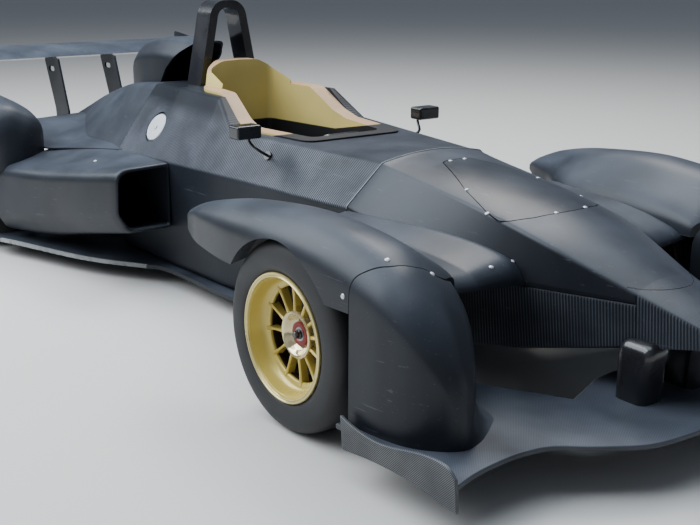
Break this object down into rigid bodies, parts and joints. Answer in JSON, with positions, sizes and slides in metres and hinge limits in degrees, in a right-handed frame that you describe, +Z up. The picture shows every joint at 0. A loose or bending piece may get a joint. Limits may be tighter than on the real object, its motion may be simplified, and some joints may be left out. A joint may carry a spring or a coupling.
{
  "type": "hill-climb racing car",
  "caption": "Narrow hill-climb racing car in bare carbon fibre, with fairings over its wheels, a raised nose above a flat splitter, an open cockpit and a rear wing.",
  "frame": {"origin": "on the ground, in the middle of the car's length and width", "axes": "+X to the nose, +Y to the driver's left, +Z up"},
  "size_m": [4.28, 1.712, 1.0799],
  "materials": {
    "bare_carbon": "satin, woven",
    "aramid_liner": "satin, woven, gold inside and peach on top",
    "tyre": "matt",
    "gold_rim": "satin metallic gold",
    "steel": "brushed",
    "cast_aluminium": "cast",
    "black_trim": "satin",
    "filler_silver": "satin"
  },
  "bodies": {
    "chassis": {"tub": "bare_carbon", "nose_fairing": "bare_carbon", "nose_hatch": "bare_carbon", "nose_cone": "bare_carbon", "bridge_left": "bare_carbon", "bridge_right": "bare_carbon", "fender_left": "bare_carbon", "fender_right": "bare_carbon", "front_pod_left": "bare_carbon", "front_pod_right": "bare_carbon", "splitter": "bare_carbon", "end_plates": "bare_carbon", "nose_pylons": "bare_carbon", "engine_cover": "bare_carbon", "airbox": "bare_carbon", "sidepod_left": "bare_carbon", "sidepod_right": "bare_carbon", "floor": "bare_carbon", "diffuser": "bare_carbon", "rear_fender_left": "bare_carbon", "rear_fender_right": "bare_carbon", "rear_wing": "bare_carbon", "wing_end_plates": "bare_carbon", "wing_pylons": "bare_carbon", "seat": "bare_carbon", "dash": "bare_carbon", "cockpit_surround": "aramid_liner", "front_wishbones": "steel", "rear_wishbones": "steel", "rear_upright_left": "cast_aluminium", "rear_upright_right": "cast_aluminium", "engine": "cast_aluminium", "gearbox": "cast_aluminium", "roll_hoop": "black_trim", "mirrors": "black_trim", "filler_cap": "filler_silver"},
    "knuckle_left": {"knuckle_left": "cast_aluminium"},
    "knuckle_right": {"knuckle_right": "cast_aluminium"},
    "front_wheel_left": {"front_rim_left": "gold_rim", "front_tyre_left": "tyre"},
    "front_wheel_right": {"front_rim_right": "gold_rim", "front_tyre_right": "tyre"},
    "rear_wheel_left": {"rear_rim_left": "gold_rim", "rear_tyre_left": "tyre"},
    "rear_wheel_right": {"rear_rim_right": "gold_rim", "rear_tyre_right": "tyre"},
    "steering": {"steering_wheel": "black_trim"}
  },
  "joints": [
    {"name": "steer_left", "type": "hinge", "parent": "chassis", "child": "knuckle_left", "pos_m": [1.2, 0.64, 0.272], "axis": [0, 0, 1], "range_deg": [-16, 16]},
    {"name": "front_roll_left", "type": "hinge", "parent": "knuckle_left", "child": "front_wheel_left", "pos_m": [1.2, 0.717, 0.272], "axis": [0, 1, 0], "continuous": true},
    {"name": "rear_roll_left", "type": "hinge", "parent": "chassis", "child": "rear_wheel_left", "pos_m": [-1.36, 0.675, 0.285], "axis": [0, 1, 0], "continuous": true},
    {"name": "steer_right", "type": "hinge", "parent": "chassis", "child": "knuckle_right", "pos_m": [1.2, -0.64, 0.272], "axis": [0, 0, 1], "range_deg": [-16, 16]},
    {"name": "front_roll_right", "type": "hinge", "parent": "knuckle_right", "child": "front_wheel_right", "pos_m": [1.2, -0.717, 0.272], "axis": [0, 1, 0], "continuous": true},
    {"name": "rear_roll_right", "type": "hinge", "parent": "chassis", "child": "rear_wheel_right", "pos_m": [-1.36, -0.675, 0.285], "axis": [0, 1, 0], "continuous": true},
    {"name": "steering_wheel_turn", "type": "hinge", "parent": "chassis", "child": "steering", "pos_m": [0.365, 0, 0.562], "axis": [0.9613, 0, -0.2756], "range_deg": [-112, 112]}
  ],
  "couplings": [
    {"joint": "steer_right", "follows": "steer_left", "ratio": 1},
    {"joint": "steering_wheel_turn", "follows": "steer_left", "ratio": -6.875}
  ]
}
